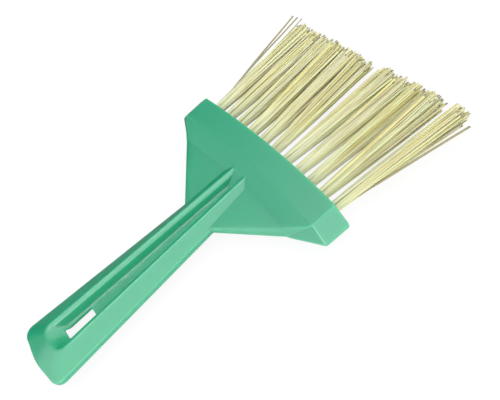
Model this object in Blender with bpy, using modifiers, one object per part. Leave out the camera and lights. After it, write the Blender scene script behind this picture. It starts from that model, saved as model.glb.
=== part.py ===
"""Heat exchanger brush: a moulded handle and head with one row of fibre tufts.

Metres, +Z up. The brush lies on the flat back of its head, bristles towards +Y and
handle towards -Y. The origin is on the back face, below the middle of the head.
The head is alike on both sides of its parting plane. The handle is a thin shell that
is open underneath, with a channel between two rounded rails on top.
"""
import math
import random

import bmesh
import bpy
from mathutils import Matrix, Vector

# Head: a bar with a flat land on each side, bevelled ends and a sloping back
HEAD_WIDTH = 0.152
HEAD_THICKNESS = 0.021
FRONT_MIDDLE_Y = 0.0094
FRONT_RADIUS = 0.760
END_DEPTH = 0.0178
END_DRAW_IN = 0.0009
END_BEVEL = 0.0106
LAND_DEPTH = 0.0166
CREASE_RADIUS = 0.480
PARTING_LAND = 0.0014
EDGE_CHAMFER = 0.0004
HEAD_CORNER_RADIUS = 0.0020
LAND_CORNER_RADIUS = 0.0012

# Web: the shell that spreads from the handle's neck to the two knees and up to the head's land
KNEE_HALF_WIDTH = 0.0528
KNEE_SETBACK = 0.0334
KNEE_RADIUS = 0.010
HEAD_BACK_SETBACK = 0.0314
NECK_SETBACK = 0.0629
WEB_PROUD = 0.0004
WEB_FOOT_DEPTH = 0.0138
WEB_DROP = (0.00025, 0.00055, 0.0013, 0.0026, 0.0038, 0.0048)
WEB_DROP_AT = (0.0, 0.12, 0.33, 0.65, 0.85, 1.0)
WEB_DROP_AT_NECK = 0.0068
WEB_EDGE_ROUND = (0.0003, 0.0007, 0.0019, 0.0037, 0.0044, 0.0048)
WEB_EDGE_ROUND_AT_NECK = 0.0030
WEB_ROOT_DEPTH = 0.005
WEB_ROOT_INSET = 0.003
WEB_ROOT_DROP = 0.0004
WEB_CORNER_INSET = 0.0008
WEB_OVERLAP = 0.0020
WEB_CEILING = 0.0022
WEB_RIM_WIDTH = 0.0030
POCKET_GAP = 0.0006
POCKET_STEP = 0.0004
POCKET_ROUND = 0.0010

# Handle: a tapered shell, widest at its rounded butt
HANDLE_LENGTH = 0.1912
NECK_HALF_WIDTH = 0.0146
HANDLE_TAPER = 0.074
HANDLE_FLARE = 0.05
HANDLE_DEPTH = 0.0092
HANDLE_WALL = 0.0020
SIDE_ROUND = 0.0014
HOLLOW_ROUND = 0.0004
BUTT_END_RADIUS = 0.110
BUTT_CORNER_RADIUS = 0.0066

# Rails and the channel between them
CREST_DROP = 0.0024
CREST_HALF_WIDTH_AT_NECK = 0.0070
CREST_TAPER = 0.0315
CREST_END_SETBACK = 0.0137
CREST_END_RADIUS = 0.030
CREST_CORNER_RADIUS = 0.0060
CREST_LAND = 0.0002
CREST_ROUND = 0.0028
RAIL_SLOPE = math.radians(30.0)
CHANNEL_DEPTH_AT_HEAD = 0.0052
CHANNEL_DEPTH_AT_END = 0.0072
CHANNEL_WALL_ANGLE = math.radians(70.0)
CHANNEL_FILLET = 0.0014
CHANNEL_RAMP = 0.0075
CHANNEL_FRONT_SETBACK = 0.0259
CHANNEL_FRONT_RAMP = 0.0100

# Hang slot in the channel's floor
SLOT_WIDTH = 0.0079
SLOT_LENGTH = 0.0206
SLOT_SETBACK = 0.0205
SLOT_CORNER_RADIUS = 0.0010

# Tufts: folded over an anchor at the bottom of a blind hole
TUFT_COUNT = 11
TUFT_MARGIN = 0.0160
TUFT_LEAN_STEP = math.radians(0.6)
HOLE_RADIUS = 0.0045
HOLE_DEPTH = 0.0125
TIP_LINE_SETBACK = 0.0875
TIP_LINE_SLOPE = 0.055
TIP_STAGGER = 0.0035
TUFT_DRIFT = (0.0041, 0.0023, 0.0005, -0.0014, -0.0032, -0.0050, 0.0041, 0.0033, 0.0024, 0.0016, 0.0019)
STRAY_TIP = 0.0172
FIT_CLEARANCE = 0.0003
STRANDS_PER_TUFT = 34
STRAND_RADIUS = 0.00042
STRAND_TIP_SHARE = 0.85
STRAND_SEAT = 0.0020
STRAND_BEND_SHARE = 0.42
STRAND_BEND_SPREAD = 0.30
TIP_HALF_WIDTH = 0.0048
TIP_HALF_HEIGHT = 0.0078
RANDOM_SEED = 7

# Anchor strip: its ends bite into notches in the hole's wall
ANCHOR_BITE = 0.0006
ANCHOR_DEPTH = 0.0026
ANCHOR_THICKNESS = 0.0008
ANCHOR_FOLD_ROOM = 0.0022
ANCHOR_BEVEL = 0.00015

# How finely the round shapes are cut
FRONT_STEPS = 18
BACK_STEPS = 12
HEAD_CORNER_STEPS = 3
NECK_STEPS = 4
SIDE_STEPS = 8
CORNER_STEPS = 6
END_STEPS = 6
ROUND_STEPS = 5
SECTION_STEPS = 8
HOLE_SIDES = 24
STRAND_SIDES = 3

# Derived sizes and places
LAND_WIDTH = HEAD_WIDTH - 2 * END_BEVEL
CREST_HEIGHT = HEAD_THICKNESS - CREST_DROP
RIM_HEIGHT = CREST_HEIGHT - HANDLE_DEPTH
TUFT_PITCH = (HEAD_WIDTH - 2 * TUFT_MARGIN) / (TUFT_COUNT - 1)
ANCHOR_WIDTH = 2 * (HOLE_RADIUS + ANCHOR_BITE)
MID_HEIGHT = HEAD_THICKNESS / 2
NECK_Y = FRONT_MIDDLE_Y - NECK_SETBACK
BUTT_Y = FRONT_MIDDLE_Y - HANDLE_LENGTH
CREST_END_Y = BUTT_Y + CREST_END_SETBACK
CREASE_MIDDLE_Y = FRONT_MIDDLE_Y - LAND_DEPTH
HANDLE_FRONT_Y = CREASE_MIDDLE_Y - 0.0007
CUTTER_FRONT_Y = CREASE_MIDDLE_Y + 0.002
CHANNEL_FRONT_Y = FRONT_MIDDLE_Y - CHANNEL_FRONT_SETBACK
POCKET_FRONT_Y = FRONT_MIDDLE_Y - KNEE_SETBACK - POCKET_GAP
CUTTER_REACH = 0.006
SIDE_RUN = NECK_HALF_WIDTH - CREST_HALF_WIDTH_AT_NECK + (HANDLE_TAPER - CREST_TAPER) * (NECK_Y - BUTT_Y) / 2
PLUG_RADIUS = HOLE_RADIUS - FIT_CLEARANCE
PLUG_LENGTH = HOLE_DEPTH - FIT_CLEARANCE

COLOURS = {
    "green_plastic": ((0.10, 0.45, 0.29, 1.0), 0.28, 0.0),
    "straw_fibre": ((0.72, 0.70, 0.42, 1.0), 0.75, 0.0),
    "zinc_wire": ((0.62, 0.63, 0.62, 1.0), 0.35, 1.0),
}


def clear_scene():
    """Remove every object of the scene."""
    for old in list(bpy.data.objects):
        bpy.data.objects.remove(old, do_unlink=True)


def make_collection(name):
    """Return a new collection linked to the scene."""
    made = bpy.data.collections.new(name)
    bpy.context.scene.collection.children.link(made)
    return made


def make_material(name):
    """Return a Principled material for one of the named finishes."""
    colour, roughness, metallic = COLOURS[name]
    made = bpy.data.materials.new(name)
    made.use_nodes = True
    shader = made.node_tree.nodes["Principled BSDF"]
    shader.inputs["Base Color"].default_value = colour
    shader.inputs["Roughness"].default_value = roughness
    shader.inputs["Metallic"].default_value = metallic
    return made


def new_object(name, bm, collection, material=None):
    """Turn a bmesh into an object with its faces pointing out."""
    bmesh.ops.recalc_face_normals(bm, faces=bm.faces[:])
    mesh = bpy.data.meshes.new(name)
    bm.to_mesh(mesh)
    bm.free()
    made = bpy.data.objects.new(name, mesh)
    collection.objects.link(made)
    if material is not None:
        mesh.materials.append(material)
    return made


def as_cutter(tool):
    """Mark an object as one that only shapes another."""
    tool.hide_render = True
    tool.display_type = "WIRE"
    return tool


def combine(target, tool, operation):
    """Add a Boolean modifier with the EXACT solver."""
    step = target.modifiers.new(f"{operation.lower()} {tool.name}", "BOOLEAN")
    step.operation = operation
    step.solver = "EXACT"
    step.object = tool


def arc_back(x, radius, middle_y):
    """Height along Y of an arc that bulges to +Y and passes through (0, middle_y)."""
    return middle_y - radius + math.sqrt(radius * radius - x * x)


def blend(first, second, share):
    """Point a share of the way from one point to another."""
    return tuple(a + (b - a) * share for a, b in zip(first, second))


def rounded(before, corner, after, radius, steps):
    """Points of an arc that rounds one corner of a flat outline."""
    a, b, c = Vector(before), Vector(corner), Vector(after)
    to_a, to_c = (a - b).normalized(), (c - b).normalized()
    half = to_a.angle(to_c) / 2
    centre = b + (to_a + to_c).normalized() * (radius / math.sin(half))
    start = b + to_a * (radius / math.tan(half)) - centre
    end = b + to_c * (radius / math.tan(half)) - centre
    sweep = start.angle_signed(end)
    turns = [Matrix.Rotation(-sweep * i / steps, 2) for i in range(steps + 1)]
    return [tuple(centre + turn @ start) for turn in turns]


def mirrored(right):
    """Close a half outline, given from the front middle to the back middle, with its mirror."""
    left = [(-x, y) for x, y in reversed(right) if x > 1e-7]
    return list(right) + left


def add_loft(bm, rings):
    """Skin a stack of flat rings of equal length, with a face at each end."""
    rows = [[bm.verts.new(point) for point in ring] for ring in rings]
    count = len(rows[0])
    for lower, upper in zip(rows, rows[1:]):
        for i in range(count):
            j = (i + 1) % count
            bm.faces.new((lower[i], lower[j], upper[j], upper[i]))
    bm.faces.new(rows[0])
    bm.faces.new(rows[-1])


def loft_object(name, rings, collection, material=None):
    """Object made of one stack of rings."""
    bm = bmesh.new()
    add_loft(bm, rings)
    return new_object(name, bm, collection, material)


def head_parting_half():
    """Right half of the head's widest outline, at its parting plane."""
    half = HEAD_WIDTH / 2
    points = [(half * i / FRONT_STEPS, 0.0) for i in range(FRONT_STEPS)]
    points = [(x, arc_back(x, FRONT_RADIUS, FRONT_MIDDLE_Y)) for x, _ in points]
    front_corner = (half, arc_back(half, FRONT_RADIUS, FRONT_MIDDLE_Y))
    back_corner = (half - END_DRAW_IN, front_corner[1] - END_DEPTH)
    knee = (KNEE_HALF_WIDTH, FRONT_MIDDLE_Y - KNEE_SETBACK)
    back_middle = (0.0, FRONT_MIDDLE_Y - HEAD_BACK_SETBACK)
    points += rounded(points[-1], front_corner, back_corner, HEAD_CORNER_RADIUS, HEAD_CORNER_STEPS)
    points += rounded(front_corner, back_corner, knee, HEAD_CORNER_RADIUS, HEAD_CORNER_STEPS)
    points += rounded(back_corner, knee, back_middle, KNEE_RADIUS, CORNER_STEPS)
    start = points[-1]
    points += [blend(start, back_middle, (i + 1) / BACK_STEPS) for i in range(BACK_STEPS)]
    return points


def head_land_half(chamfer):
    """Right half of the flat land's outline, point for point with the parting outline.

    The land's back corner answers both the back corner and the knee of the parting outline,
    so that a hip runs from it to each of them.
    """
    half = LAND_WIDTH / 2 - chamfer
    front_y = FRONT_MIDDLE_Y - chamfer
    crease_y = CREASE_MIDDLE_Y + chamfer
    points = [(half * i / FRONT_STEPS, 0.0) for i in range(FRONT_STEPS)]
    points = [(x, arc_back(x, FRONT_RADIUS, front_y)) for x, _ in points]
    front_corner = (half, arc_back(half, FRONT_RADIUS, front_y))
    back_corner = (half, arc_back(half, CREASE_RADIUS, crease_y))
    inner = (half * 0.9, arc_back(half * 0.9, CREASE_RADIUS, crease_y))
    radius = LAND_CORNER_RADIUS - chamfer
    both = HEAD_CORNER_STEPS + CORNER_STEPS + 1
    points += rounded(points[-1], front_corner, back_corner, radius, HEAD_CORNER_STEPS)
    points += rounded(front_corner, back_corner, inner, radius, both)
    end_x = points[-1][0]
    crease = [end_x * (1.0 - (i + 1) / BACK_STEPS) for i in range(BACK_STEPS)]
    return points + [(x, arc_back(x, CREASE_RADIUS, crease_y)) for x in crease]


def make_head_bar(collection):
    """The thick bar: two flat lands joined to the parting outline by sloping faces."""
    parting = head_parting_half()
    land = head_land_half(0.0)
    top = head_land_half(EDGE_CHAMFER)
    near_top = [blend(p, q, 0.96) for p, q in zip(parting, land)]
    upper = [(top, HEAD_THICKNESS), (near_top, HEAD_THICKNESS - EDGE_CHAMFER),
             (parting, MID_HEIGHT + PARTING_LAND / 2)]
    lower = [(half, HEAD_THICKNESS - z) for half, z in reversed(upper)]
    rings = [[(x, y, z) for x, y in mirrored(half)] for half, z in upper + lower]
    return as_cutter(loft_object("head_bar", rings, collection))


def section(middle_y, edge, bottom, top, radius):
    """One section of the web across the brush, as a ring that bows with the head's crease.

    The edge is given in plan. The section rounds over from the side wall to the top.
    """
    edge_x, edge_y = edge
    half = [(edge_x * i / SECTION_STEPS, bottom) for i in range(SECTION_STEPS)]
    for i in range(ROUND_STEPS + 1):
        angle = math.pi / 2 * i / ROUND_STEPS
        inward = radius * (1 - math.cos(angle))
        half.append((edge_x - inward, top - radius * (1 - math.sin(angle))))
    inner_x = half[-1][0]
    half += [(inner_x * (1 - (i + 1) / SECTION_STEPS), top) for i in range(SECTION_STEPS)]
    half += [(-x, z) for x, z in reversed(half) if x > 1e-7]
    return [(x, middle_y + (edge_y - middle_y) * (x / edge_x) ** 2, z) for x, z in half]


def web_edge():
    """Plan points of the web's right edge: at the land's corner, the knee and the neck."""
    knee = Vector((KNEE_HALF_WIDTH, FRONT_MIDDLE_Y - KNEE_SETBACK))
    corner_x = LAND_WIDTH / 2
    corner = Vector((corner_x, arc_back(corner_x, CREASE_RADIUS, CREASE_MIDDLE_Y)))
    out = (corner - knee).normalized()
    proud = Vector((out.y, -out.x)) * WEB_PROUD
    return corner + proud, knee + proud, Vector((NECK_HALF_WIDTH, NECK_Y))


def make_web(collection):
    """The shell's outer form: a gentle slope from the land, then a plate down to the neck.

    Its first two sections lie inside the head bar, just under the land.
    """
    corner, knee, neck = web_edge()
    start = Vector((corner.x - WEB_ROOT_INSET, CREASE_MIDDLE_Y + WEB_ROOT_DEPTH))
    rings = [section(start.y, start, RIM_HEIGHT, HEAD_THICKNESS - WEB_ROOT_DROP, WEB_EDGE_ROUND[0])]
    for share, drop, edge_round in zip(WEB_DROP_AT, WEB_DROP, WEB_EDGE_ROUND):
        edge = corner.lerp(knee, share)
        middle_y = CREASE_MIDDLE_Y - WEB_FOOT_DEPTH * share
        if share == 0.0:
            edge = edge + Vector((-WEB_CORNER_INSET, WEB_CORNER_INSET))
            middle_y += WEB_CORNER_INSET
        rings.append(section(middle_y, edge, RIM_HEIGHT, HEAD_THICKNESS - drop, edge_round))
    foot_y = CREASE_MIDDLE_Y - WEB_FOOT_DEPTH
    for share in (0.5, 1.0):
        drop = WEB_DROP[-1] + (WEB_DROP_AT_NECK - WEB_DROP[-1]) * share
        edge_round = WEB_EDGE_ROUND[-1] + (WEB_EDGE_ROUND_AT_NECK - WEB_EDGE_ROUND[-1]) * share
        rings.append(section(foot_y + (NECK_Y - foot_y) * share, knee.lerp(neck, share), RIM_HEIGHT,
                             HEAD_THICKNESS - drop, edge_round))
    end = neck - Vector((WEB_OVERLAP, WEB_OVERLAP))
    rings.append(section(end.y, end, RIM_HEIGHT, HEAD_THICKNESS - WEB_DROP_AT_NECK, WEB_EDGE_ROUND_AT_NECK))
    return as_cutter(loft_object("web", rings, collection))


def make_pocket(collection):
    """Cutter for the open underside of the web, from the back of the head bar to the neck."""
    _, knee, neck = web_edge()
    along = (knee - neck).normalized()
    inner = knee + Vector((-along.y, along.x)) * WEB_RIM_WIDTH
    front = inner + along * ((POCKET_FRONT_Y - inner.y) / along.y)
    back = inner + along * ((NECK_Y + POCKET_GAP - inner.y) / along.y)
    rings = []
    for share in (0.0, 0.5, 1.0):
        drop = WEB_DROP[-1] + (WEB_DROP_AT_NECK - WEB_DROP[-1]) * share
        edge = front.lerp(back, share)
        rings.append(section(edge.y, edge, RIM_HEIGHT - CUTTER_REACH,
                             HEAD_THICKNESS - drop - WEB_CEILING, POCKET_ROUND))
    return as_cutter(loft_object("web_pocket", rings, collection))


def handle_half(width_at, end_y, end_radius, corner_radius, inset, front_y):
    """Right half of an outline with a rounded butt, from the front to the end middle."""
    def side_x(y):
        return width_at(y) - inset

    end_middle = end_y + inset
    end_x = side_x(end_y)
    corner_y = end_middle + end_radius - math.sqrt(end_radius ** 2 - end_x ** 2)
    corner = (side_x(corner_y), corner_y)
    neck = (side_x(NECK_Y), NECK_Y)
    arc = rounded(neck, corner, (0.0, end_middle), corner_radius - inset, CORNER_STEPS)
    front = (side_x(front_y), front_y)
    points = [(0.0, front_y)]
    points += [blend(front, neck, i / NECK_STEPS) for i in range(NECK_STEPS)]
    points += [blend(neck, arc[0], i / SIDE_STEPS) for i in range(SIDE_STEPS)]
    points += arc
    last_x = arc[-1][0]
    for i in range(1, END_STEPS + 1):
        share = i / END_STEPS
        x = last_x * (1.0 - share)
        y_arc = end_middle + end_radius - math.sqrt(end_radius ** 2 - x ** 2)
        points.append((x, y_arc + (arc[-1][1] - y_arc) * (1.0 - share) ** 2))
    return points


def side_width(y):
    """Half width of the handle: least at the neck, wider towards the butt and into the web."""
    return NECK_HALF_WIDTH + max(HANDLE_TAPER * (NECK_Y - y), HANDLE_FLARE * (y - NECK_Y))


def side_half(inset, front_y):
    """Right half of the handle's rim outline."""
    return handle_half(side_width, BUTT_Y, BUTT_END_RADIUS, BUTT_CORNER_RADIUS, inset, front_y)


def crest_width(y):
    """Half width of the crests, which spread towards the butt."""
    return CREST_HALF_WIDTH_AT_NECK + CREST_TAPER * (NECK_Y - y)


def crest_half(inset, front_y, end_shift=0.0):
    """Right half of the outline that the rails' crests follow."""
    return handle_half(crest_width, CREST_END_Y + end_shift,
                       CREST_END_RADIUS, CREST_CORNER_RADIUS, inset, front_y)


def rail_profile(run, side_round, crest_round, crest_height, foot_height):
    """Share of the way inwards and height, from the foot of the side wall up to the crest."""
    rise = (run - side_round * (1 - math.sin(RAIL_SLOPE)) - crest_round * math.sin(RAIL_SLOPE))
    crest_start = crest_height - crest_round * (1 - math.cos(RAIL_SLOPE))
    wall_top = crest_start - rise * math.tan(RAIL_SLOPE) - side_round * math.cos(RAIL_SLOPE)
    steps = [(0.0, foot_height)]
    for i in range(ROUND_STEPS + 1):
        angle = math.pi / 2 + (RAIL_SLOPE - math.pi / 2) * i / ROUND_STEPS
        inward = side_round * (1 - math.sin(angle))
        steps.append((inward / run, wall_top + side_round * math.cos(angle)))
    for i in range(ROUND_STEPS):
        angle = RAIL_SLOPE * (1 - i / (ROUND_STEPS - 1))
        inward = run - crest_round * math.sin(angle)
        steps.append((inward / run, crest_height - crest_round * (1 - math.cos(angle))))
    return steps


def make_handle_outside(name, collection, material):
    """Outer form of the handle, up to a flat top that the channel is cut from."""
    side, crest = side_half(0.0, HANDLE_FRONT_Y), crest_half(0.0, HANDLE_FRONT_Y)
    profile = rail_profile(SIDE_RUN, SIDE_ROUND, CREST_ROUND, CREST_HEIGHT, RIM_HEIGHT)
    rings = []
    for share, z in profile:
        half = [blend(p, q, share) for p, q in zip(side, crest)]
        rings.append([(x, y, z) for x, y in mirrored(half)])
    return loft_object(name, rings, collection, material)


def channel_profile(depth, wall):
    """Inset from the crest and height, from above the crest down to the channel's floor."""
    floor = CREST_HEIGHT - depth - wall
    tilt = math.pi / 2 - CHANNEL_WALL_ANGLE
    lip = CREST_ROUND * math.sin(CHANNEL_WALL_ANGLE)
    lip_foot = CREST_HEIGHT - CREST_ROUND * (1 - math.cos(CHANNEL_WALL_ANGLE))
    wall_foot = lip + (lip_foot - floor - CHANNEL_FILLET * (1 - math.sin(tilt))) * math.tan(tilt)
    steps = [(0.0, CREST_HEIGHT + 0.002)]
    for i in range(ROUND_STEPS + 1):
        angle = CHANNEL_WALL_ANGLE * i / ROUND_STEPS
        drop = CREST_ROUND * (1 - math.cos(angle))
        steps.append((CREST_ROUND * math.sin(angle), CREST_HEIGHT - drop))
    for i in range(ROUND_STEPS + 1):
        angle = (math.pi / 2 - tilt) * i / ROUND_STEPS
        reach = CHANNEL_FILLET * (math.cos(tilt) - math.cos(tilt + angle))
        rise = CHANNEL_FILLET * (1 - math.sin(tilt + angle))
        steps.append((wall_foot + reach, floor + rise))
    return [(CREST_LAND + inward - wall / math.cos(tilt), z) for inward, z in steps]


def make_channel(name, collection, wall):
    """Cutter for the channel, or for the channel grown by the thickness of its wall."""
    length = CHANNEL_FRONT_Y - CREST_END_Y
    at_head = channel_profile(CHANNEL_DEPTH_AT_HEAD, wall)
    at_end = channel_profile(CHANNEL_DEPTH_AT_END, wall)
    rings = []
    for (head_inset, head_z), (end_inset, end_z) in zip(at_head, at_end):
        ramp = CHANNEL_RAMP * max(CREST_HEIGHT - end_z, 0.0) / CHANNEL_DEPTH_AT_END
        front_y = CUTTER_FRONT_Y
        if not wall:
            front_y = CHANNEL_FRONT_Y - CHANNEL_FRONT_RAMP * (CREST_HEIGHT - head_z) / CHANNEL_DEPTH_AT_HEAD
        near, far = (crest_half(inset, front_y, ramp) for inset in (head_inset, end_inset))
        half = []
        for p, q in zip(near, far):
            x, y = blend(p, q, (CHANNEL_FRONT_Y - q[1]) / length)
            share = (CHANNEL_FRONT_Y - y) / length
            half.append((x, y, head_z + (end_z - head_z) * share))
        left = [(-x, y, z) for x, y, z in reversed(half) if x > 1e-7]
        rings.append(half + left)
    return as_cutter(loft_object(name, rings, collection))


def make_hollow(collection):
    """Cutter for the open underside of the handle and the web, clear of the channel's wall."""
    front_y = POCKET_FRONT_Y - POCKET_STEP
    side, crest = side_half(HANDLE_WALL, front_y), crest_half(0.0, front_y)
    ceiling = CREST_HEIGHT - HANDLE_WALL / math.cos(RAIL_SLOPE)
    profile = rail_profile(SIDE_RUN - HANDLE_WALL, HOLLOW_ROUND, CREST_ROUND,
                           ceiling, RIM_HEIGHT - CUTTER_REACH)
    rings = []
    for share, z in profile:
        half = [blend(p, q, share) for p, q in zip(side, crest)]
        rings.append([(x, y, z) for x, y in mirrored(half)])
    hollow = as_cutter(loft_object("hollow", rings, collection))
    combine(hollow, make_pocket(collection), "UNION")
    combine(hollow, make_channel("channel_wall", collection, HANDLE_WALL), "DIFFERENCE")
    return hollow


def make_slot(collection):
    """Cutter for the hang slot through the channel's floor."""
    half_x, half_y = SLOT_WIDTH / 2, SLOT_LENGTH / 2
    middle = CREST_END_Y + SLOT_SETBACK
    corners = [(half_x, middle + half_y), (half_x, middle - half_y),
               (-half_x, middle - half_y), (-half_x, middle + half_y)]
    outline = []
    for i, corner in enumerate(corners):
        outline += rounded(corners[i - 1], corner, corners[(i + 1) % 4], SLOT_CORNER_RADIUS, ROUND_STEPS)
    floor = CREST_HEIGHT - CHANNEL_DEPTH_AT_END
    rings = [[(x, y, z) for x, y in outline] for z in (floor - CUTTER_REACH, floor + 0.002)]
    return as_cutter(loft_object("slot", rings, collection))


def tuft_frame(index):
    """Place of a tuft: origin at the mouth of its hole, local +Z out along the tuft."""
    step = index - (TUFT_COUNT - 1) / 2
    x = step * TUFT_PITCH
    lean = step * TUFT_LEAN_STEP
    mouth = Vector((x, arc_back(x, FRONT_RADIUS, FRONT_MIDDLE_Y), MID_HEIGHT))
    out = Vector((math.sin(lean), math.cos(lean), 0.0))
    across = Vector((math.cos(lean), -math.sin(lean), 0.0))
    up = Vector((0.0, 0.0, 1.0))
    turn = Matrix((across, -up, out)).transposed().to_4x4()
    return Matrix.Translation(mouth) @ turn


def add_box(bm, size, centre, frame=None):
    """Box of a given size about a point, turned by an optional frame."""
    place = Matrix.Translation(centre) @ Matrix.Diagonal((*size, 1.0))
    bmesh.ops.create_cube(bm, size=1.0, matrix=place if frame is None else frame @ place)


def add_cylinder(bm, radius, bottom, top, frame=None):
    """Cylinder along local Z between two heights."""
    place = Matrix.Translation((0.0, 0.0, (bottom + top) / 2))
    bmesh.ops.create_cone(bm, cap_ends=True, segments=HOLE_SIDES, radius1=radius, radius2=radius,
                          depth=top - bottom, matrix=place if frame is None else frame @ place)


def anchor_centre():
    """Middle of the anchor along the hole, counted from the mouth."""
    return -HOLE_DEPTH + ANCHOR_FOLD_ROOM + ANCHOR_DEPTH / 2


def make_hole_cutters(collection):
    """Blind holes for the tufts, and the notches that their anchors bite into the wall."""
    holes, notches = bmesh.new(), bmesh.new()
    notch = (ANCHOR_THICKNESS + 2 * FIT_CLEARANCE, ANCHOR_WIDTH + 2 * FIT_CLEARANCE,
             ANCHOR_DEPTH + 2 * FIT_CLEARANCE)
    for index in range(TUFT_COUNT):
        frame = tuft_frame(index)
        add_cylinder(holes, HOLE_RADIUS, -HOLE_DEPTH, 0.003, frame)
        add_box(notches, notch, (0.0, 0.0, anchor_centre()), frame)
    return [as_cutter(new_object("tuft_holes", holes, collection)),
            as_cutter(new_object("anchor_notches", notches, collection))]


def make_body(parts, cutters, material):
    """Handle shell, web and head bar joined into one moulding, then drilled."""
    body = make_handle_outside("brush_body", parts, material)
    combine(body, make_web(cutters), "UNION")
    combine(body, make_channel("channel", cutters, 0.0), "DIFFERENCE")
    combine(body, make_hollow(cutters), "DIFFERENCE")
    combine(body, make_head_bar(cutters), "UNION")
    combine(body, make_slot(cutters), "DIFFERENCE")
    for cutter in make_hole_cutters(cutters):
        combine(body, cutter, "DIFFERENCE")
    return body


def add_strand(bm, stations, phase):
    """One fibre: a thin prism through its stations, given as (point, radius)."""
    rings = []
    for (x, y, z), radius in stations:
        ring = []
        for k in range(STRAND_SIDES):
            angle = phase + 2 * math.pi * k / STRAND_SIDES
            ring.append((x + radius * math.cos(angle), y + radius * math.sin(angle), z))
        rings.append(ring)
    add_loft(bm, rings)


def strand_ends(index, frame, rng):
    """Start and tip of each fibre of a tuft, in the tuft's own frame."""
    golden = math.pi * (3 - math.sqrt(5))
    reach = PLUG_RADIUS - 1.3 * STRAND_RADIUS
    tips = []
    for i in range(STRANDS_PER_TUFT):
        share = math.sqrt((i + 0.5) / STRANDS_PER_TUFT)
        angle = i * golden + index
        away = Vector((math.cos(angle), math.sin(angle))) * share
        tips.append([away * reach, Vector((away.x * TIP_HALF_WIDTH + TUFT_DRIFT[index],
                                           away.y * TIP_HALF_HEIGHT))])
    side = {0: -1, TUFT_COUNT - 1: 1}.get(index)
    if side:
        stray = max(tips, key=lambda ends: side * ends[0].x)
        stray[1].x = side * STRAY_TIP
    out = frame.col[2]
    lengths = []
    for start, tip in tips:
        tip_x = (frame @ Vector((tip.x, tip.y, TIP_LINE_SETBACK))).x
        line_y = FRONT_MIDDLE_Y + TIP_LINE_SETBACK + TIP_LINE_SLOPE * tip_x
        mouth_y = (frame @ Vector((tip.x, tip.y, 0.0))).y
        lengths.append((line_y - mouth_y) / out.y - rng.random() * TIP_STAGGER)
    return [(start, tip, length) for (start, tip), length in zip(tips, lengths)]


def make_tuft(index, parts, cutters, material, rng):
    """A folded bundle: the packed root in its hole, and fibres that spread towards the tips."""
    number = f"{index + 1:02d}"
    frame = tuft_frame(index)
    root = bmesh.new()
    add_cylinder(root, PLUG_RADIUS, -PLUG_LENGTH, 0.0)
    tuft = new_object(f"tuft_{number}", root, parts, material)
    window = bmesh.new()
    add_box(window, (ANCHOR_THICKNESS + 2 * FIT_CLEARANCE, 4 * PLUG_RADIUS,
                     ANCHOR_DEPTH + 2 * FIT_CLEARANCE), (0.0, 0.0, anchor_centre()))
    fold = as_cutter(new_object(f"fold_{number}", window, cutters))
    strands = bmesh.new()
    for i, (start, tip, length) in enumerate(strand_ends(index, frame, rng)):
        bend = start + (tip - start) * STRAND_BEND_SPREAD
        stations = [((*start, -STRAND_SEAT), STRAND_RADIUS),
                    ((*bend, length * STRAND_BEND_SHARE), STRAND_RADIUS),
                    ((*tip, length), STRAND_RADIUS * STRAND_TIP_SHARE)]
        add_strand(strands, stations, i)
    fibres = as_cutter(new_object(f"fibres_{number}", strands, cutters))
    for tool in (tuft, fold, fibres):
        tool.matrix_world = frame
    combine(tuft, fold, "DIFFERENCE")
    combine(tuft, fibres, "UNION")
    return tuft


def make_anchor(index, parts, material):
    """Flat metal strip that the tuft is folded over."""
    bm = bmesh.new()
    add_box(bm, (ANCHOR_THICKNESS, ANCHOR_WIDTH, ANCHOR_DEPTH), (0.0, 0.0, anchor_centre()))
    anchor = new_object(f"tuft_anchor_{index + 1:02d}", bm, parts, material)
    anchor.matrix_world = tuft_frame(index)
    edge = anchor.modifiers.new("worn edge", "BEVEL")
    edge.width = ANCHOR_BEVEL
    edge.segments = 1
    return anchor


def main():
    """Build the brush."""
    clear_scene()
    parts = make_collection("heat_exchanger_brush")
    cutters = make_collection("cutters")
    plastic, fibre, metal = (make_material(name) for name in COLOURS)
    make_body(parts, cutters, plastic)
    rng = random.Random(RANDOM_SEED)
    for index in range(TUFT_COUNT):
        make_tuft(index, parts, cutters, fibre, rng)
        make_anchor(index, parts, metal)


main()
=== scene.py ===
"""Looks of the heat exchanger brush: a glossy green moulding and eleven tufts of straw fibre.

Metres, +Z up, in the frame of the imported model. The brush lies on the back of its head,
with the bristles towards +Y and the handle towards -Y. The moulded body and the anchor
strips are CAD nodes with better materials. Each CAD tuft is replaced by separate fibres,
made by one Geometry Nodes tree whose inputs are the tuft's real sizes.
"""
import logging
import math
from dataclasses import dataclass
from enum import Enum

import bpy
from mathutils import Euler, Matrix, Vector


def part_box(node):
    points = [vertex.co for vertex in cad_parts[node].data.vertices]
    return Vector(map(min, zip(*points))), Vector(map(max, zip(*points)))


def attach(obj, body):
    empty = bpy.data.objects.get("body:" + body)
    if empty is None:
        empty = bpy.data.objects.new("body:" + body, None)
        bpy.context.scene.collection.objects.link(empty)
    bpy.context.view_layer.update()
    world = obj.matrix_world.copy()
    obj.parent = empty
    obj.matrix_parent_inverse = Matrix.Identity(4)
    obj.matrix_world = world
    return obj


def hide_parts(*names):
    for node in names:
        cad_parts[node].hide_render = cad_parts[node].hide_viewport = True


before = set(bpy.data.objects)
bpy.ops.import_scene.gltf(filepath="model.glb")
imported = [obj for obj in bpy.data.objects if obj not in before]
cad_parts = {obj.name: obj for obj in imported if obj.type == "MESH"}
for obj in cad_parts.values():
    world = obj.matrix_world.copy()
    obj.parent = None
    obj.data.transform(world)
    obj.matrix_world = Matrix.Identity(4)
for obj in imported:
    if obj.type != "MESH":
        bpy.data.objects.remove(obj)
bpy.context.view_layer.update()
LOG = logging.getLogger("brush")
Socket = bpy.types.NodeSocket
Value = float | int | Socket
Pair = tuple[float, float]
Triple = tuple[float, float, float]
Colour = tuple[float, float, float, float]
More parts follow.
